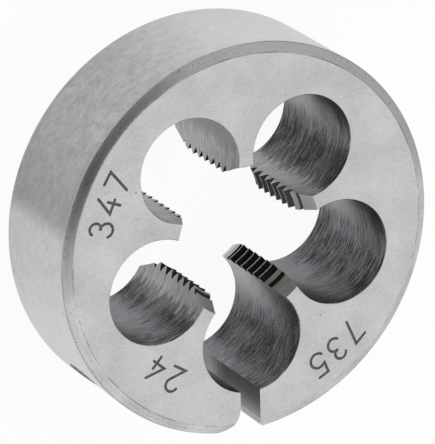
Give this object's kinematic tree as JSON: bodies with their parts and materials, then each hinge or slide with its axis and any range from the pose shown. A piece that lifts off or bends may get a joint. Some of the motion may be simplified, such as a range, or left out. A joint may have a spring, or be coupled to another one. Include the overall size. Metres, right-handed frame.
{
  "type": "round split threading die",
  "caption": "Round split die of high speed steel for cutting a fine metric outside thread, with chip holes around a threaded bore, a slit at the rim and adjusting dimples.",
  "frame": {"origin": "on the thread's axis, in the plane of the back face that the die lies on", "axes": "+Z along the thread's axis, from the back face to the front face where the cut starts; the slit is on the -Y side"},
  "size_m": [0.0334, 0.0333, 0.0111],
  "materials": {
    "die": "ground high speed steel with turned chamfers and dark bored holes"
  },
  "bodies": {
    "root": {"die": "die"}
  },
  "joints": []
}
